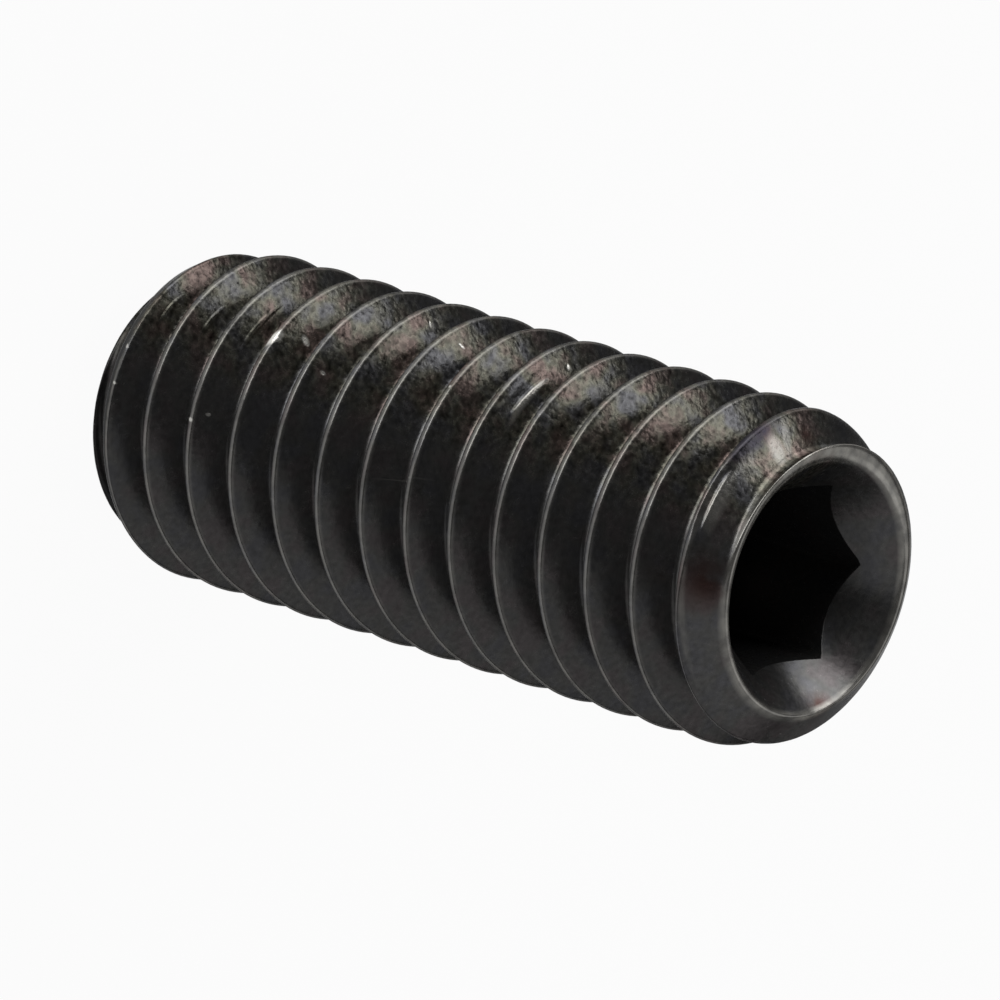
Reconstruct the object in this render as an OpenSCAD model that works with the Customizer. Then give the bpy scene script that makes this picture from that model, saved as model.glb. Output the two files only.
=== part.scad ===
/* [Thread] */
// outside diameter over the thread crests, mm
thread_d = 4; // [3.9:0.05:4.2]
// distance from one crest to the next, mm
pitch = 0.7; // [0.6:0.05:0.75]
// whole length from the point to the socket face, mm
length = 10; // [8:0.5:16]
// turn of the thread round the axis against the hexagon, degrees
thread_turn = 176; // [0:1:359]

/* [Ends] */
// radius of the socket face's outer edge, mm
rim_r = 1.56; // [1.52:0.01:1.65]
// slope of the socket end's chamfer from the axis, degrees
rim_slope = 55; // [45:1:60]
// radius of the flat at the point, mm
point_r = 1.49; // [1.3:0.01:1.6]
// slope of the point's chamfer from the axis, degrees
point_slope = 60; // [40:1:60]
// radius that the first crest has reached where the chamfer cuts it, mm
first_crest_r = 1.7; // [1.65:0.01:1.95]
// slope from the axis at which the first crest rises to its full height, degrees
run_out_slope = 28; // [20:1:40]

/* [Socket] */
// width of the hexagon across its flats, mm
key_w = 2.03; // [1.6:0.01:2.1]
// depth of the hexagon's walls below the socket face, mm
key_depth = 2.5; // [1.5:0.1:4]
// radius of the countersink at the socket face, mm
sink_r = 1.47; // [1.3:0.01:1.5]
// slope of the countersink from the axis, degrees
sink_slope = 39; // [35:1:60]

/* [Hidden] */
// rolled sixty degree thread: a small round on each crest and a wide one in each root
flank_angle = 30;
sharp_h = pitch / 2 / tan(flank_angle);
crest_r = thread_d / 2;
crest_round = sharp_h / 10;
root_round = sharp_h / 5;
root_r = crest_r - sharp_h + crest_round + root_round;
crest_half = crest_round * cos(flank_angle);
root_half = root_round * cos(flank_angle);
crest_edge_r = crest_r - crest_round * (1 - sin(flank_angle));
root_edge_r = root_r + root_round * (1 - sin(flank_angle));

// one pitch of the profile as height over the root's middle and radius
profile = [
    [0, root_r],
    [root_half, root_edge_r],
    [pitch / 2 - crest_half, crest_edge_r],
    [pitch / 2, crest_r],
    [pitch / 2 + crest_half, crest_edge_r],
    [pitch - root_half, root_edge_r],
];
rows = len(profile);
seg = 48;
spare_turns = 2;
turns = ceil(length / pitch) + 2 * spare_turns - 1;
steps = seg * turns;

blank_r = crest_r + 0.5;
drill_slope = 59;
overlap = 0.2;
black_steel = [0.1, 0.1, 0.11];

function profile_point(i, j) =
    let (a = 360 * i / seg + thread_turn, p = profile[j])
    [p[1] * cos(a), p[1] * sin(a), pitch * (i / seg - spare_turns) + p[0]];

// a step's row past its last one is the first row of the step one turn up
function first_row(i) = i <= steps ? i * rows : (steps + 1) * rows + i - steps - 1;
function at(i, j) = j < rows ? i * rows + j : first_row(i + seg);

// right-hand thread as one closed body, longer than the screw at both ends
module thread_body() {
    points = concat(
        [for (i = [0:steps]) for (j = [0:rows - 1]) profile_point(i, j)],
        [for (i = [steps + 1:steps + seg]) profile_point(i, 0)],
        [[0, 0, -pitch * spare_turns], [0, 0, pitch * (turns - spare_turns + 1)]]);
    low = len(points) - 2;
    top = len(points) - 1;
    wall = [for (i = [0:steps - 1]) for (j = [0:rows - 1])
        let (a = at(i, j), b = at(i + 1, j), c = at(i + 1, j + 1), d = at(i, j + 1))
        each [[a, c, b], [a, d, c]]];
    low_ring = concat([for (i = [0:seg]) first_row(i)], [for (j = [rows - 1:-1:1]) at(0, j)]);
    top_ring = concat(
        [for (j = [0:rows - 1]) at(steps, j)],
        [for (i = [seg:-1:1]) first_row(steps + i)]);
    low_cap = [for (i = [0:len(low_ring) - 1])
        [low, low_ring[i], low_ring[(i + 1) % len(low_ring)]]];
    top_cap = [for (i = [0:len(top_ring) - 1])
        [top, top_ring[i], top_ring[(i + 1) % len(top_ring)]]];
    polyhedron(points, concat(wall, low_cap, top_cap));
}

// turned outline with both chamfers and the low first crest, clear of the rest
module blank() {
    rim_run = (blank_r - rim_r) / tan(rim_slope);
    point_run = (first_crest_r - point_r) / tan(point_slope);
    first_rise = point_run + (blank_r - first_crest_r) / tan(run_out_slope);
    rotate_extrude($fn = 96)
        polygon([
            [0, 0], [point_r, 0], [first_crest_r, point_run], [blank_r, first_rise],
            [blank_r, length - rim_run], [rim_r, length], [0, length],
        ]);
}

// countersink, hexagon walls and drilled bottom
module socket() {
    sink_h = sink_r / tan(sink_slope);
    drill_h = key_w / 2 / tan(drill_slope);
    translate([0, 0, length - key_depth])
        linear_extrude(key_depth + overlap)
            circle(r = key_w / 2 / cos(30), $fn = 6);
    rotate_extrude($fn = 96)
        polygon([
            [0, length - key_depth - drill_h], [key_w / 2, length - key_depth],
            [key_w / 2, length - key_depth + overlap], [0, length - key_depth + overlap],
        ]);
    rotate_extrude($fn = 96)
        polygon([
            [0, length - sink_h], [sink_r, length],
            [sink_r + overlap * tan(sink_slope), length + overlap], [0, length + overlap],
        ]);
}

module set_screw() {
    color(black_steel)
        difference() {
            intersection() {
                thread_body();
                blank();
            }
            socket();
        }
}

set_screw();
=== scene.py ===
import math

import bpy
import numpy as np
from mathutils import Matrix, Vector


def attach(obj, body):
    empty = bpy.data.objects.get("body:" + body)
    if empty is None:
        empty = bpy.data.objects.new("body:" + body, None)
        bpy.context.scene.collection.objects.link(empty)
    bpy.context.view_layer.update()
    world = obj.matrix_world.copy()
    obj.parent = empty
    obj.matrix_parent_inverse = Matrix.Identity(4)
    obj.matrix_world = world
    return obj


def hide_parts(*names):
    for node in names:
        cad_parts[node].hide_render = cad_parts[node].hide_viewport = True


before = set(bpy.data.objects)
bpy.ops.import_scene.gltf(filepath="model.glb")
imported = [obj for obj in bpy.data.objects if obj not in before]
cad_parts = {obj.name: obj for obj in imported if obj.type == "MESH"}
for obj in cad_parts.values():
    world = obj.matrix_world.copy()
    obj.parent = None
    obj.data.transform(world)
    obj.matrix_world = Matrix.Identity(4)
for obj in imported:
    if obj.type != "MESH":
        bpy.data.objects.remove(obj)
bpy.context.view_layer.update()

# A set screw M4 x 0.7 x 10 mm of rolled steel, standing on its point. The whole screw is one
# closed surface: at each angle round the axis a profile runs from the point to the socket.

MM = 0.001

# The screw's sizes in millimetres and degrees, as in the part's source. FLANK is half the angle
# between two flanks, each SLOPE is taken from the axis, and the rounds of crest and root are
# shares of the sharp thread's height.
LENGTH = 10.0
CREST_R = 2.0
PITCH = 0.7
FLANK = 30.0
THREAD_TURN = 176.0
CREST_ROUND, ROOT_ROUND = 1 / 10, 1 / 5
RIM_R, RIM_SLOPE = 1.56, 55.0
POINT_R, POINT_SLOPE = 1.49, 60.0
FIRST_CREST_R, RUN_OUT_SLOPE = 1.7, 28.0
KEY_W, KEY_DEPTH = 2.03, 2.5
SINK_R, SINK_SLOPE = 1.47, 39.0
DRILL_SLOPE = 59.0

# How far the chamfer and the punched socket lie off the thread's axis, as in the photograph
RIM_SHIFT = (-0.080, -0.030)
SOCKET_SHIFT = (-0.014, -0.005)

# The last crest is low on one side: direction and spread of the dip in degrees, its depth, the
# height above which it lies and the height over which it fades, in mm
LOW_ANGLE, LOW_SPREAD, LOW_DEPTH, LOW_START, LOW_FADE = 156.6, 47.9, 0.144, 9.357, 0.04

# Laps on the flanks: first and last angle in degrees, height at their middle, how far they stand
# out and their width, in mm. A width below 0 puts the groove beside them on the point's side.
LAPS = [
    (-133, -110, 6.25, 0.03, -0.03), (-112, -86, 9.72, 0.035, -0.035),
]
# Widths from the ridge of a lap to its groove, and degrees over which its ends fade
LAP_GROOVE, LAP_FADE = 1.8, 1.5

# Radii of the rounded edges, and the rows of points on each round
POINT_EDGE, KEY_EDGE, CREST_EDGE = 0.06, 0.03, 0.06
POINT_ROWS, LIP_ROWS, KEY_ROWS = 7, 13, 6

# Points round the axis, and rows from the point's edge up to the rim
COLUMNS, THREAD_ROWS = 120, 740


def slope(degrees):
    """Rise of the radius for each millimetre along the axis, of a cone by its half angle."""
    return math.tan(math.radians(degrees))


def thread_radius(height, angle):
    """Radius of the rolled thread over height in mm and angle in radians. The distance to the
    nearest crest of the right-hand helix gives a sixty degree flank, a small circle on the
    crest and a wide one in the root, each met tangentially."""
    sharp = PITCH / 2 / slope(FLANK)
    crest, root = sharp * CREST_ROUND, sharp * ROOT_ROUND
    root_r = CREST_R - sharp + crest + root
    turn = (angle - math.radians(THREAD_TURN)) / (2 * math.pi)
    place = np.mod(height / PITCH - turn - 0.5, 1.0)
    off = np.minimum(place, 1 - place) * PITCH
    rest = PITCH / 2 - off
    tangent = math.cos(math.radians(FLANK))
    flank = CREST_R - crest / 2 - (off - crest * tangent) / slope(FLANK)
    top = CREST_R - crest + np.sqrt(np.maximum(crest ** 2 - off ** 2, 0))
    low = root_r + root - np.sqrt(np.maximum(root ** 2 - rest ** 2, 0))
    radius = np.where(off < crest * tangent, top, flank)
    return np.where(rest < root * tangent, low, radius)


def degrees_aside(angle, middle):
    """Difference in degrees, from -180 to 180, between angle in radians and middle in degrees."""
    return np.mod(np.degrees(angle) - middle + 180, 360) - 180


def die_marks(height, angle):
    """Height of the fine laps that the dies have left on the flank, over height and angle: a
    ridge with a groove beside it, both bell-shaped, that follow the helix and fade at the ends."""
    mark = np.zeros(np.broadcast(height, angle).shape)
    for start, stop, level, size, width in LAPS:
        aside = degrees_aside(angle, (start + stop) / 2)
        along = (height - level - PITCH * aside / 360) / width
        bell = np.exp(-along ** 2) - np.exp(-(along - LAP_GROOVE) ** 2)
        past_end = np.abs(aside) - (stop - start) / 2
        mark = mark + size * bell / (1 + np.exp(past_end / LAP_FADE))
    return mark


def soft_min(a, b, width):
    """The smaller of a and b, with the corner between them rounded over width."""
    h = np.maximum(width - np.abs(a - b), 0) / width
    return np.minimum(a, b) - h * h * width / 4


def shifted_circle(radius, shift, angle):
    """Distance from the axis, at each angle, to a circle whose centre lies at shift."""
    along = shift[0] * np.cos(angle) + shift[1] * np.sin(angle)
    across = shift[1] * np.cos(angle) - shift[0] * np.sin(angle)
    return along + np.sqrt(radius ** 2 - across ** 2)


def shifted_hexagon(width, shift, angle):
    """Distance from the axis, at each angle, to the walls of a hexagon whose centre lies at
    shift and whose corner points along +X: the nearest of the flats that face that way."""
    normals = (np.arange(6) + 0.5) * math.pi / 3
    reach = width / 2 + shift[0] * np.cos(normals) + shift[1] * np.sin(normals)
    facing = np.cos(angle[:, None] - normals)
    flats = np.where(facing > 0.1, reach / np.maximum(facing, 0.1), np.inf)
    return flats.min(axis=1)


def turned_outline(height, angle):
    """Radius left by the chamfers and by the first and last crests, which the dies raise only
    in part: a cone and a bell-shaped dip of the crest at the socket end, two cones at the
    point, and of all of them the smallest radius."""
    chamfer = shifted_circle(RIM_R, RIM_SHIFT, angle) + (LENGTH - height) * slope(RIM_SLOPE)
    aside = degrees_aside(angle, LOW_ANGLE)
    dip = np.exp(-(aside / LOW_SPREAD) ** 2) / (1 + np.exp((LOW_START - height) / LOW_FADE))
    last_crest = CREST_R + CREST_EDGE - (LOW_DEPTH + CREST_EDGE) * dip
    socket_end = soft_min(chamfer, last_crest, CREST_EDGE)
    point_run = (FIRST_CREST_R - POINT_R) / slope(POINT_SLOPE)
    chamfer = POINT_R + height * slope(POINT_SLOPE)
    rise = FIRST_CREST_R + (height - point_run) * slope(RUN_OUT_SLOPE)
    return soft_min(socket_end, soft_min(chamfer, rise, CREST_EDGE), CREST_EDGE)


def corner(before, tip, after, radius, count):
    """Points of the arc of a radius that rounds the corner at tip between two straight runs in
    the plane of radius and height. The arrays hold one corner and one radius for each angle."""
    radius = np.reshape(radius, (-1, 1))
    into, out = before - tip, after - tip
    into = into / np.linalg.norm(into, axis=-1, keepdims=True)
    out = out / np.linalg.norm(out, axis=-1, keepdims=True)
    half = np.arccos(np.clip((into * out).sum(-1, keepdims=True), -1, 1)) / 2
    middle = into + out
    middle = middle / np.linalg.norm(middle, axis=-1, keepdims=True)
    centre = tip + middle * radius / np.sin(half)
    span = math.pi / 2 - half
    side = np.stack([middle[..., 1], -middle[..., 0]], -1)
    side = side * np.sign((side * into).sum(-1, keepdims=True))
    turns = np.linspace(1, -1, count)
    return [centre + radius * (side * np.sin(span * t) - middle * np.cos(span * t)) for t in turns]


def screw_rows(angle):
    """Rows of (radius, height) for every angle, from the middle of the point's flat outwards,
    up the thread, over the rim and down the socket to the middle of its drilled bottom."""

    def at(r, z):
        return np.stack([r + 0 * angle, z + 0 * angle], -1)

    def between(start, stop, shares):
        return [start + (stop - start) * t for t in shares]

    centre, edge = at(0, 0), at(POINT_R, 0)
    point = corner(centre, edge, at(POINT_R + slope(POINT_SLOPE), 1), POINT_EDGE, POINT_ROWS)
    rows = between(centre, point[0], (0, 0.4, 0.7, 0.9)) + point

    # the chamfer and the countersink meet in one round lip, as high as the socket face
    rim_r = shifted_circle(RIM_R, RIM_SHIFT, angle)
    sink_r = shifted_circle(SINK_R, SOCKET_SHIFT, angle)
    over = (rim_r - sink_r) / (slope(RIM_SLOPE) + slope(SINK_SLOPE))
    half = math.radians(RIM_SLOPE + SINK_SLOPE) / 2
    lean = math.radians(RIM_SLOPE - SINK_SLOPE) / 2
    lip_round = over / (math.cos(lean) / math.sin(half) - 1)
    tip = at(rim_r - over * slope(RIM_SLOPE), LENGTH + over)
    chamfer = tip + np.array([slope(RIM_SLOPE), -1.0])
    wall_r = shifted_hexagon(KEY_W, SOCKET_SHIFT, angle)
    from_centre = np.hypot(wall_r * np.cos(angle) - SOCKET_SHIFT[0],
                           wall_r * np.sin(angle) - SOCKET_SHIFT[1])
    mouth = at(wall_r, LENGTH - (SINK_R - from_centre) / slope(SINK_SLOPE))
    foot = at(wall_r, LENGTH - KEY_DEPTH)
    rim = corner(chamfer, tip, mouth, lip_round, LIP_ROWS)

    for share in np.linspace(0, 1, THREAD_ROWS + 2)[1:-1]:
        z = point[-1][:, 1] * (1 - share) + rim[0][:, 1] * share
        thread = thread_radius(z, angle) + die_marks(z, angle)
        rows.append(at(soft_min(thread, turned_outline(z, angle), CREST_EDGE), z))
    for row in point + rim:
        row[:, 0] = soft_min(thread_radius(row[:, 1], angle), row[:, 0], CREST_EDGE)
    rows += rim

    key_edge = corner(tip, mouth, foot, KEY_EDGE, KEY_ROWS)
    rows += between(rows[-1], key_edge[0], (0.25, 0.5, 0.75)) + key_edge
    rows += between(key_edge[-1], foot, (0.1, 0.3, 0.6, 0.9, 1))
    land = at(KEY_W / 2 - math.hypot(*SOCKET_SHIFT), LENGTH - KEY_DEPTH)
    bottom = at(0, LENGTH - KEY_DEPTH - KEY_W / 2 / slope(DRILL_SLOPE))
    return rows + between(land, bottom, (0, 0.5, 1))


def screw_mesh(name):
    """Closed surface: each row of the section is carried once round the axis as
    (r cos a, r sin a, z), and the first and last rows are single points."""
    angle = np.arange(COLUMNS) * 2 * math.pi / COLUMNS
    rows = screw_rows(angle)
    grid = np.stack(rows[1:-1])
    r, z = grid[..., 0], grid[..., 1]
    points = np.stack([r * np.cos(angle), r * np.sin(angle), z], -1).reshape(-1, 3)
    ends = np.array([[0, 0, rows[0][0, 1]], [0, 0, rows[-1][0, 1]]])
    points = np.concatenate([points, ends]) * MM
    count = len(grid)
    row, col = np.meshgrid(np.arange(count - 1), np.arange(COLUMNS), indexing="ij")
    nxt = (col + 1) % COLUMNS
    quads = np.stack([row * COLUMNS + col, row * COLUMNS + nxt,
                      (row + 1) * COLUMNS + nxt, (row + 1) * COLUMNS + col], -1).reshape(-1, 4)
    col = np.arange(COLUMNS)
    nxt = (col + 1) % COLUMNS
    first, last = count * COLUMNS, count * COLUMNS + 1
    top = (count - 1) * COLUMNS
    low = np.stack([np.full(COLUMNS, first), nxt, col], -1)
    high = np.stack([np.full(COLUMNS, last), top + col, top + nxt], -1)
    corners = np.concatenate([quads.ravel(), low.ravel(), high.ravel()])
    sizes = np.concatenate([np.full(len(quads), 4), np.full(2 * COLUMNS, 3)])
    starts = np.concatenate([[0], np.cumsum(sizes)[:-1]])
    mesh = bpy.data.meshes.new(name)
    mesh.vertices.add(len(points))
    mesh.vertices.foreach_set("co", points.ravel())
    mesh.loops.add(len(corners))
    mesh.loops.foreach_set("vertex_index", corners)
    mesh.polygons.add(len(sizes))
    mesh.polygons.foreach_set("loop_start", starts)
    mesh.polygons.foreach_set("use_smooth", np.ones(len(sizes), dtype=bool))
    mesh.update(calc_edges=True)
    mesh.validate()
    piece = bpy.data.objects.new(name, mesh)
    bpy.context.scene.collection.objects.link(piece)
    return piece


def linear(code):
    """sRGB hex colour as linear red, green, blue and alpha."""
    parts = [int(code[i:i + 2], 16) / 255 for i in (1, 3, 5)]
    return [c / 12.92 if c <= 0.04045 else ((c + 0.055) / 1.055) ** 2.4 for c in parts] + [1.0]


def node(tree, kind, settings=None, **links):
    """Adds a node: settings are its properties or the values of its inputs by name or number,
    and links joins nodes (by their first output) or outputs to its inputs, by name with spaces
    as underscores or by number after the letter i."""
    new = tree.nodes.new(kind)
    for key, value in (settings or {}).items():
        if isinstance(key, int) or key in new.inputs:
            new.inputs[key].default_value = value
        else:
            setattr(new, key, value)
    for key, value in links.items():
        socket = int(key[1:]) if key[0] == "i" and key[1:].isdigit() else key.replace("_", " ")
        tree.links.new(value if hasattr(value, "is_linked") else value.outputs[0],
                       new.inputs[socket])
    return new


# Marks as in the photograph: angle in degrees, height in mm, turn against the circumference in
# degrees, length and width in mm, and strength. Nicks are dents of bare steel, painted bright
# as glints; seams are raised lines; grooves are painted shade beside a crest; and rubs are
# places worn to lighter steel, two of them painted highlights.
NICKS_AND_GLINTS = [
    (-110, 2.6, -12, 0.26, 0.09, 1), (-118.5, 2.765, 20, 0.1, 0.06, 1),
    (-105, 3.436, 0, 0.05, 0.035, 0.8), (-93, 0.572, 20, 0.06, 0.035, 0.6),
    (-79.5, 0.594, 80, 0.06, 0.035, 0.6), (-75, 1.956, 70, 0.07, 0.045, 0.6),
    (-78, 2.077, 0, 0.04, 0.03, 0.6), (-111, 5.403, 0, 0.04, 0.03, 0.6),
    (-144, 4.052, 30, 0.05, 0.03, 0.7), (-136.5, 4.782, -30, 0.06, 0.03, 0.7),
    (-145.5, 6.185, 20, 0.06, 0.03, 0.7),
]
SEAMS = [
    (-114, 0.66, 3.2, 0.45, 0.03, 0.8), (-114, 1.355, 3.2, 0.5, 0.03, 0.8),
    (-118, 2.04, 3.2, 0.8, 0.03, 0.8),
]
# The groove's dark colour is painted shade along the recess beside the last crest.
GROOVE_SHADE = [(-124, 9.61, 3.2, 1.0, 0.15, 0.85)]
RUBS_AND_HIGHLIGHTS = [
    # The rub at -132 degrees and 9.744 mm is a painted highlight on the socket's chamfer, and the
    # one at -120 degrees and 6.252 mm a painted highlight on the lap there; the others are wear.
    (-75.8, 5.23, 103, 0.7, 0.02, 0.5), (-132, 9.744, 20, 0.24, 0.17, 0.6),
    (-120, 6.252, 4, 0.8, 0.045, 1.0), (-100, 9.725, 3.8, 0.75, 0.09, 0.7),
    (-139, 9.70, 40, 0.35, 0.1, 0.35), (-118, 9.70, 20, 0.5, 0.14, 0.3),
]
# Stains: angle in degrees, height and radius of the place, and size, in mm
STAINS = [(-71, 9.82, 1.74, 0.5), (38, 9.93, 1.45, 0.3), (-150, 9.72, 1.7, 0.2)]

# Direction in radians of the side where the key lamp's highlights fall on the flanks, where the
# oxide's mottle and warm tint are strongest: partly real blotching, partly painted sheen
BLOTCH_AND_SHEEN_SIDE = math.radians(-128)
# Spots of each pattern for a millimetre: crystals of the oxide, drawn much coarser than the
# real ones so that they show, clouds of thicker and thinner oxide, and patches of wear
CRYSTALS, CLOUDS, WEAR_PATCHES = 15.0, 2.6, 5.0
# How far the crests are worn bare, against the lip, and how far from the crest's middle
# towards the socket the worn line lies, in mm
CREST_WEAR, WEAR_ASIDE = 0.34, 0.022


def near_marks(tree, skin, outside, marks):
    """Mask of the marks drawn on skin, the surface unrolled at the crests: each is an ellipse
    as strong as its last number, and the largest value of all counts. It is 0 in the socket."""
    mask = None
    for degrees, height, turn, length, width, strength in marks:
        local = node(tree, "ShaderNodeMapping", {
            "vector_type": "TEXTURE", "Location": (math.radians(degrees) * CREST_R, height, 0),
            "Rotation": (0, 0, math.radians(turn)), "Scale": (length / 2, width / 2, 1)},
            Vector=skin)
        reach = node(tree, "ShaderNodeVectorMath", {"operation": "LENGTH"}, i0=local)
        one = node(tree, "ShaderNodeMapRange", {
            "From Min": 1.3, "From Max": 0.6, "To Max": strength}, Value=reach.outputs["Value"])
        mask = one if mask is None else node(tree, "ShaderNodeMath", {"operation": "MAXIMUM"},
                                             i0=mask, i1=one)
    return node(tree, "ShaderNodeMath", {"operation": "MULTIPLY"}, i0=mask, i1=outside)


def black_oxide_steel():
    """Rolled steel with a satin black oxide finish, lightly oiled: nearly black, with a mottled
    sheen where the light catches the flanks, its colour partly painted sheen on that side, and
    grey steel where the crests and the socket's lip are worn. Painted shade darkens the point's
    chamfer and a groove, and painted highlights and glints lighten the socket's chamfer, a lap
    and the dents."""
    material = bpy.data.materials.new("black_oxide_rolled_steel")
    material.use_nodes = True
    tree = material.node_tree
    tree.nodes.clear()
    calc, ranged, noise = "ShaderNodeMath", "ShaderNodeMapRange", "ShaderNodeTexNoise"
    vector, blend = "ShaderNodeVectorMath", "ShaderNodeMix"
    place = node(tree, "ShaderNodeMapping", {"Scale": (1 / MM, 1 / MM, 1 / MM)},
                 Vector=node(tree, "ShaderNodeTexCoord").outputs["Object"])
    x, y, z = node(tree, "ShaderNodeSeparateXYZ", Vector=place).outputs
    flat = node(tree, vector, {"operation": "MULTIPLY", 1: (1, 1, 0)}, i0=place)
    radius = node(tree, vector, {"operation": "LENGTH"}, i0=flat).outputs["Value"]
    outside = node(tree, ranged, {"From Min": RIM_R - 0.06, "From Max": RIM_R}, Value=radius)

    # distance along the axis from the nearest crest of the helix, positive towards the socket
    angle = node(tree, calc, {"operation": "ARCTAN2"}, i0=y, i1=x)
    across = node(tree, calc, {"operation": "MULTIPLY_ADD", 1: -1 / (2 * math.pi),
                               2: THREAD_TURN / 360 - 0.5}, i0=angle)
    across = node(tree, calc, {"operation": "MULTIPLY_ADD", 1: 1 / PITCH}, i0=z, i2=across)
    across = node(tree, calc, {"operation": "WRAP", 1: 0.5, 2: -0.5}, i0=across)
    across = node(tree, calc, {"operation": "MULTIPLY", 1: PITCH}, i0=across)

    # crystals of the oxide and its clouds, grey, green or brown, all stronger on the side the key
    # lamp lights, where their colour is partly painted sheen
    mottle = node(tree, noise, {"Scale": CRYSTALS, "Detail": 2.0, "Roughness": 0.5},
                  Vector=place)
    cloud = node(tree, noise, {"Scale": CLOUDS, "Detail": 2.0}, Vector=place)
    tint = node(tree, "ShaderNodeValToRGB", Fac=cloud)
    ramp = tint.color_ramp
    ramp.elements[0].position, ramp.elements[0].color = 0.36, linear("#4d4d4f")
    ramp.elements[1].position, ramp.elements[1].color = 0.64, linear("#5b504c")
    ramp.elements.new(0.5).color = linear("#54534b")
    facing = node(tree, vector, {"operation": "NORMALIZE"}, i0=flat)
    facing = node(tree, vector, {"operation": "DOT_PRODUCT", 1: (
        math.cos(BLOTCH_AND_SHEEN_SIDE), math.sin(BLOTCH_AND_SHEEN_SIDE), 0)}, i0=facing).outputs["Value"]
    blotch_and_sheen = node(tree, ranged, {"interpolation_type": "SMOOTHSTEP", "From Min": 0.74,
                                   "From Max": 0.99, "To Min": 0.3}, Value=facing)
    tint = node(tree, blend, {"data_type": "RGBA", 6: linear("#4f4f51")}, i0=blotch_and_sheen,
                i7=tint).outputs[2]
    uneven = node(tree, calc, {"operation": "MULTIPLY_ADD", 1: 3.2, 2: -0.1}, i0=blotch_and_sheen)
    grain = node(tree, calc, {"operation": "SUBTRACT", 1: 0.5}, i0=mottle)
    grain = node(tree, calc, {"operation": "MULTIPLY_ADD", 2: 1.0}, i0=grain, i1=uneven)

    # the point's chamfer is painted darker, as painted shade in its reflection, and the socket
    # end's a little lighter
    point_shade = node(tree, ranged, {"From Min": 0.15, "From Max": 0.4, "To Min": 0.4}, Value=z)
    turned = node(tree, ranged, {"From Min": LENGTH - 0.38, "From Max": LENGTH - 0.2,
                                 "To Min": 1.0, "To Max": 1.3}, Value=z)
    sheen = node(tree, calc, {"operation": "MULTIPLY"}, i0=grain, i1=point_shade)
    sheen = node(tree, calc, {"operation": "MULTIPLY"}, i0=sheen, i1=turned)
    color = node(tree, vector, {"operation": "SCALE"}, i0=tint, Scale=sheen)

    # the crests' shoulders on the socket's side and the lip have rubbed unevenly
    shoulder = node(tree, calc, {"operation": "SUBTRACT", 1: WEAR_ASIDE}, i0=across)
    shoulder = node(tree, calc, {"operation": "ABSOLUTE"}, i0=shoulder)
    shoulder = node(tree, ranged, {"From Min": 0.034, "From Max": 0.012}, Value=shoulder)
    high = node(tree, ranged, {"From Min": 1.86, "From Max": 1.92}, Value=radius)
    shoulder = node(tree, calc, {"operation": "MULTIPLY"}, i0=shoulder, i1=high)
    shoulder = node(tree, calc, {"operation": "MULTIPLY", 1: CREST_WEAR}, i0=shoulder)
    lip = node(tree, ranged, {"From Min": LENGTH - 0.06, "From Max": LENGTH - 0.015}, Value=z)
    patches = node(tree, noise, {"Scale": WEAR_PATCHES, "Detail": 3.0}, Vector=place)
    patches = node(tree, ranged, {"From Min": 0.35, "From Max": 0.6, "To Min": 0.4},
                   Value=patches)
    worn = node(tree, calc, {"operation": "MAXIMUM"}, i0=shoulder, i1=lip)
    worn = node(tree, calc, {"operation": "MULTIPLY"}, i0=worn, i1=patches)

    # marks drawn on the unrolled surface, and brown stains that follow the clouds
    skin = node(tree, calc, {"operation": "MULTIPLY", 1: CREST_R}, i0=angle)
    skin = node(tree, "ShaderNodeCombineXYZ", X=skin, Y=z)
    nicks_and_glints, seams, groove_shade, rubs_and_highlights = [
        near_marks(tree, skin, outside, marks) for marks in (NICKS_AND_GLINTS, SEAMS, GROOVE_SHADE, RUBS_AND_HIGHLIGHTS)]
    bare_and_highlights = node(tree, calc, {"operation": "MAXIMUM"}, i0=rubs_and_highlights, i1=worn)
    stain = None
    for degrees, height, r, size in STAINS:
        spot = (r * math.cos(math.radians(degrees)), r * math.sin(math.radians(degrees)), height)
        reach = node(tree, vector, {"operation": "DISTANCE", 1: spot}, i0=place)
        one = node(tree, ranged, {"interpolation_type": "SMOOTHSTEP", "From Min": size,
                                  "From Max": 0.0}, Value=reach.outputs["Value"])
        stain = one if stain is None else node(tree, calc, {"operation": "MAXIMUM"},
                                               i0=stain, i1=one)
    thick = node(tree, ranged, {"From Min": 0.38, "From Max": 0.55, "To Min": 0.25},
                 Value=cloud)
    stain = node(tree, calc, {"operation": "MULTIPLY"}, i0=stain, i1=thick)
    # Painted shade in the groove, painted highlights among the rubs and painted glints on the
    # nicks are laid over the real colour, stains and wear here.
    for share, code in ((stain, "#4c3a37"), (bare_and_highlights, "#96948f"), (groove_shade, "#2c2a33"),
                        (nicks_and_glints, "#dddbd5")):
        color = node(tree, blend, {"data_type": "RGBA", 7: linear(code)}, i0=share,
                     i6=color).outputs[2]

    # the grain also roughens the surface and lifts it a little, and wear smooths it again
    rough = node(tree, ranged, {"From Min": 0.4, "From Max": 1.6, "To Min": 0.21,
                                "To Max": 0.31}, Value=grain)
    rough = node(tree, calc, {"operation": "MULTIPLY_ADD", 1: -0.04}, i0=worn, i2=rough)
    height = node(tree, calc, {"operation": "MULTIPLY_ADD", 1: -2.0}, i0=nicks_and_glints, i2=grain)
    height = node(tree, calc, {"operation": "MULTIPLY_ADD", 1: 6.0}, i0=seams, i2=height)
    smooth = node(tree, calc, {"operation": "SUBTRACT", 0: 1.0}, i1=worn)
    bump = node(tree, "ShaderNodeBump", {"Distance": 0.0018 * MM}, Height=height, Strength=smooth)
    shader = node(tree, "ShaderNodeBsdfPrincipled", {
        "Metallic": 0.8, "Specular Tint": linear("#666666")}, Base_Color=color,
        Roughness=rough, Normal=bump)
    node(tree, "ShaderNodeOutputMaterial", Surface=shader)
    return material


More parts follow.
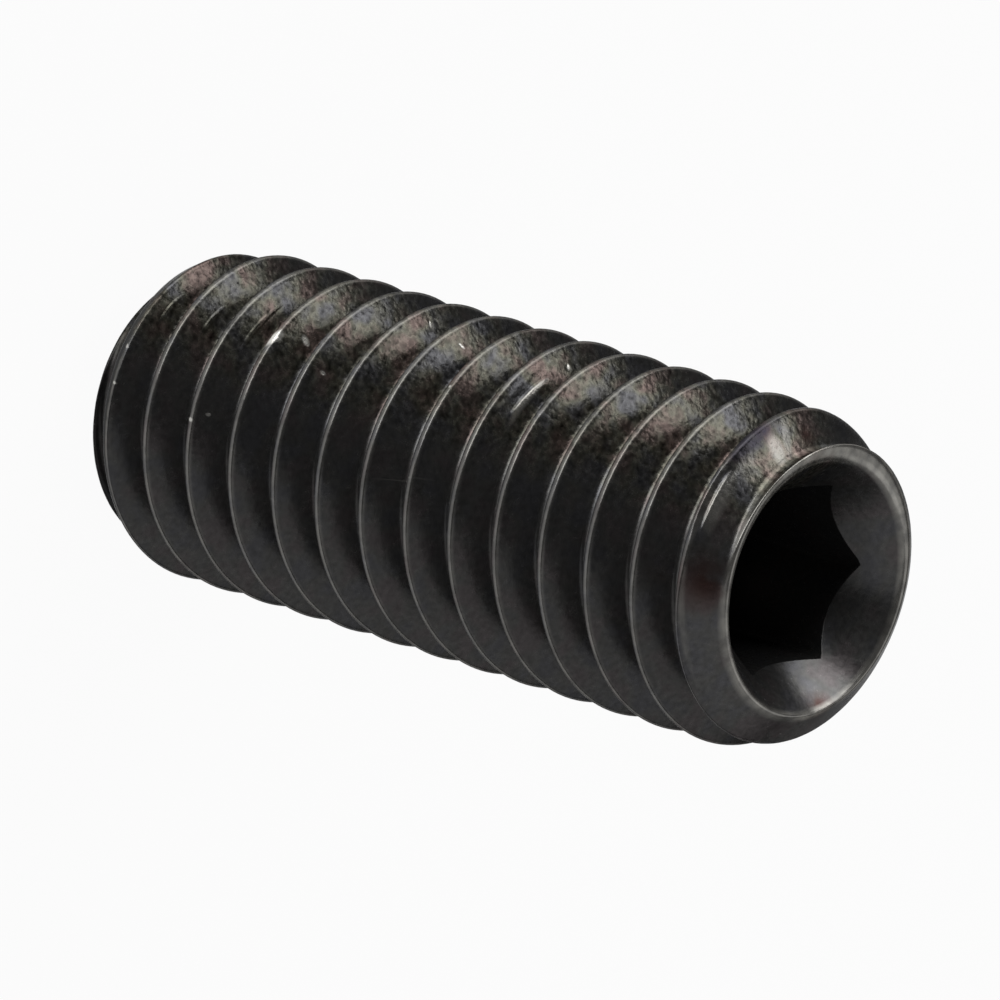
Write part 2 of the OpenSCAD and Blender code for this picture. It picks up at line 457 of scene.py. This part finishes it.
screw = screw_mesh("screw_body")
screw.data.materials.append(black_oxide_steel())
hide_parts("set_screw")
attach(screw, "root")


def direction(azimuth, elevation):
    """Unit vector towards an azimuth and elevation in degrees."""
    az, el = math.radians(azimuth), math.radians(elevation)
    return Vector((math.cos(el) * math.cos(az), math.cos(el) * math.sin(az), math.sin(el)))


def look_from(place, target, roll):
    """Matrix of something at place that looks at target, turned by roll degrees about its
    own view axis."""
    turn = (Vector(target) - Vector(place)).to_track_quat("-Z", "Y").to_matrix().to_4x4()
    return Matrix.Translation(place) @ turn @ Matrix.Rotation(math.radians(roll), 4, "Z")


# The photograph's camera, from a fit to its crest lines and outline, in degrees and mm
AZIMUTH, ELEVATION, ROLL = -80.28, 40.65, 106.59
DISTANCE, LENS = 112.88, 352.12
TARGET = Vector((0.044, 0.075, 5.078)) * MM
camera = bpy.data.objects.new("camera", bpy.data.cameras.new("camera"))
bpy.context.scene.collection.objects.link(camera)
camera.data.lens = LENS
camera.data.clip_start = 0.01
camera.matrix_world = look_from(
    TARGET + direction(AZIMUTH, ELEVATION) * DISTANCE * MM, TARGET, ROLL)
bpy.context.scene.camera = camera


def soft_box(name, azimuth, elevation, distance, width, height, roll, radiance):
    """Rectangular studio lamp at an azimuth and elevation in degrees and a distance in mm from
    the screw's middle, facing it. Its power is the radiance times pi times its area."""
    lamp = bpy.data.lights.new(name, "AREA")
    lamp.shape = "RECTANGLE"
    lamp.size, lamp.size_y = width * MM, height * MM
    lamp.energy = radiance * math.pi * lamp.size * lamp.size_y
    box = bpy.data.objects.new(name, lamp)
    bpy.context.scene.collection.objects.link(box)
    middle = Vector((0, 0, LENGTH / 2)) * MM
    place = middle + direction(azimuth, elevation) * distance * MM
    box.matrix_world = look_from(place, middle, roll)
    box.visible_camera = False


soft_box("key", 162.5, 43.5, 120, 46, 32, 48, 3.8)
soft_box("top", 193, 17, 120, 105, 68, -15, 3.1)
soft_box("strip", 243, 9, 120, 94, 34, -10, 4.5)
soft_box("side", 10.7, 50, 100, 250, 110, 0, 0.42)
soft_box("back", 92.7, 45, 100, 100, 60, 0, 0.62)


def studio_bowl(name, floor_r, wall_height, columns):
    """Round floor with a low wall: a profile that runs out flat, turns up in a quarter circle
    and ends upright, carried once round the axis."""
    bend = wall_height / 2
    turn = np.linspace(0, math.pi / 2, 12)
    r = np.concatenate([np.array([0.01, 0.25, 0.5]) * floor_r,
                        floor_r - bend + bend * np.sin(turn), [floor_r]])
    z = np.concatenate([[0, 0, 0], bend * (1 - np.cos(turn)), [wall_height]])
    angle = np.linspace(0, 2 * math.pi, columns, endpoint=False)
    points = np.stack([np.outer(r, np.cos(angle)), np.outer(r, np.sin(angle)),
                       np.outer(z, np.ones_like(angle))], -1).reshape(-1, 3) * MM
    row, col = np.meshgrid(np.arange(len(r) - 1), np.arange(columns), indexing="ij")
    nxt = (col + 1) % columns
    quads = np.stack([row * columns + col, (row + 1) * columns + col,
                      (row + 1) * columns + nxt, row * columns + nxt], -1).reshape(-1, 4)
    faces = quads.tolist() + [list(range(columns))]
    mesh = bpy.data.meshes.new(name)
    mesh.from_pydata(points.tolist(), [], faces)
    mesh.polygons.foreach_set("use_smooth", np.ones(len(faces), dtype=bool))
    bowl = bpy.data.objects.new(name, mesh)
    bpy.context.scene.collection.objects.link(bowl)
    return bowl


def matt_white(shown):
    """Matt white card. The share shown of what the camera, gloss and glass see of it is plain
    white, and the rest is its own lit colour, which keeps a soft shadow."""
    material = bpy.data.materials.new("matt_white_card")
    material.use_nodes = True
    tree = material.node_tree
    tree.nodes.clear()
    card = node(tree, "ShaderNodeBsdfDiffuse", {"Color": linear("#e6e6e6")})
    white = node(tree, "ShaderNodeEmission", {"Strength": 1.0})
    ray = node(tree, "ShaderNodeLightPath").outputs
    seen = node(tree, "ShaderNodeMath", {"operation": "MAXIMUM"},
                i0=ray["Is Camera Ray"], i1=ray["Is Glossy Ray"])
    seen = node(tree, "ShaderNodeMath", {"operation": "MAXIMUM"},
                i0=seen, i1=ray["Is Transmission Ray"])
    share = node(tree, "ShaderNodeMath", {"operation": "MULTIPLY", 1: shown}, i0=seen)
    mix = node(tree, "ShaderNodeMixShader", Fac=share, i1=card, i2=white)
    node(tree, "ShaderNodeOutputMaterial", Surface=mix)
    return material


floor = studio_bowl("floor", 1500, 110, 96)
floor.data.materials.append(matt_white(0.95))

world = bpy.data.worlds.new("studio")
bpy.context.scene.world = world
world.use_nodes = True
world.node_tree.nodes["Background"].inputs["Color"].default_value = linear("#ffffff")
world.node_tree.nodes["Background"].inputs["Strength"].default_value = 0.035

bpy.context.scene.view_settings.view_transform = "Standard"
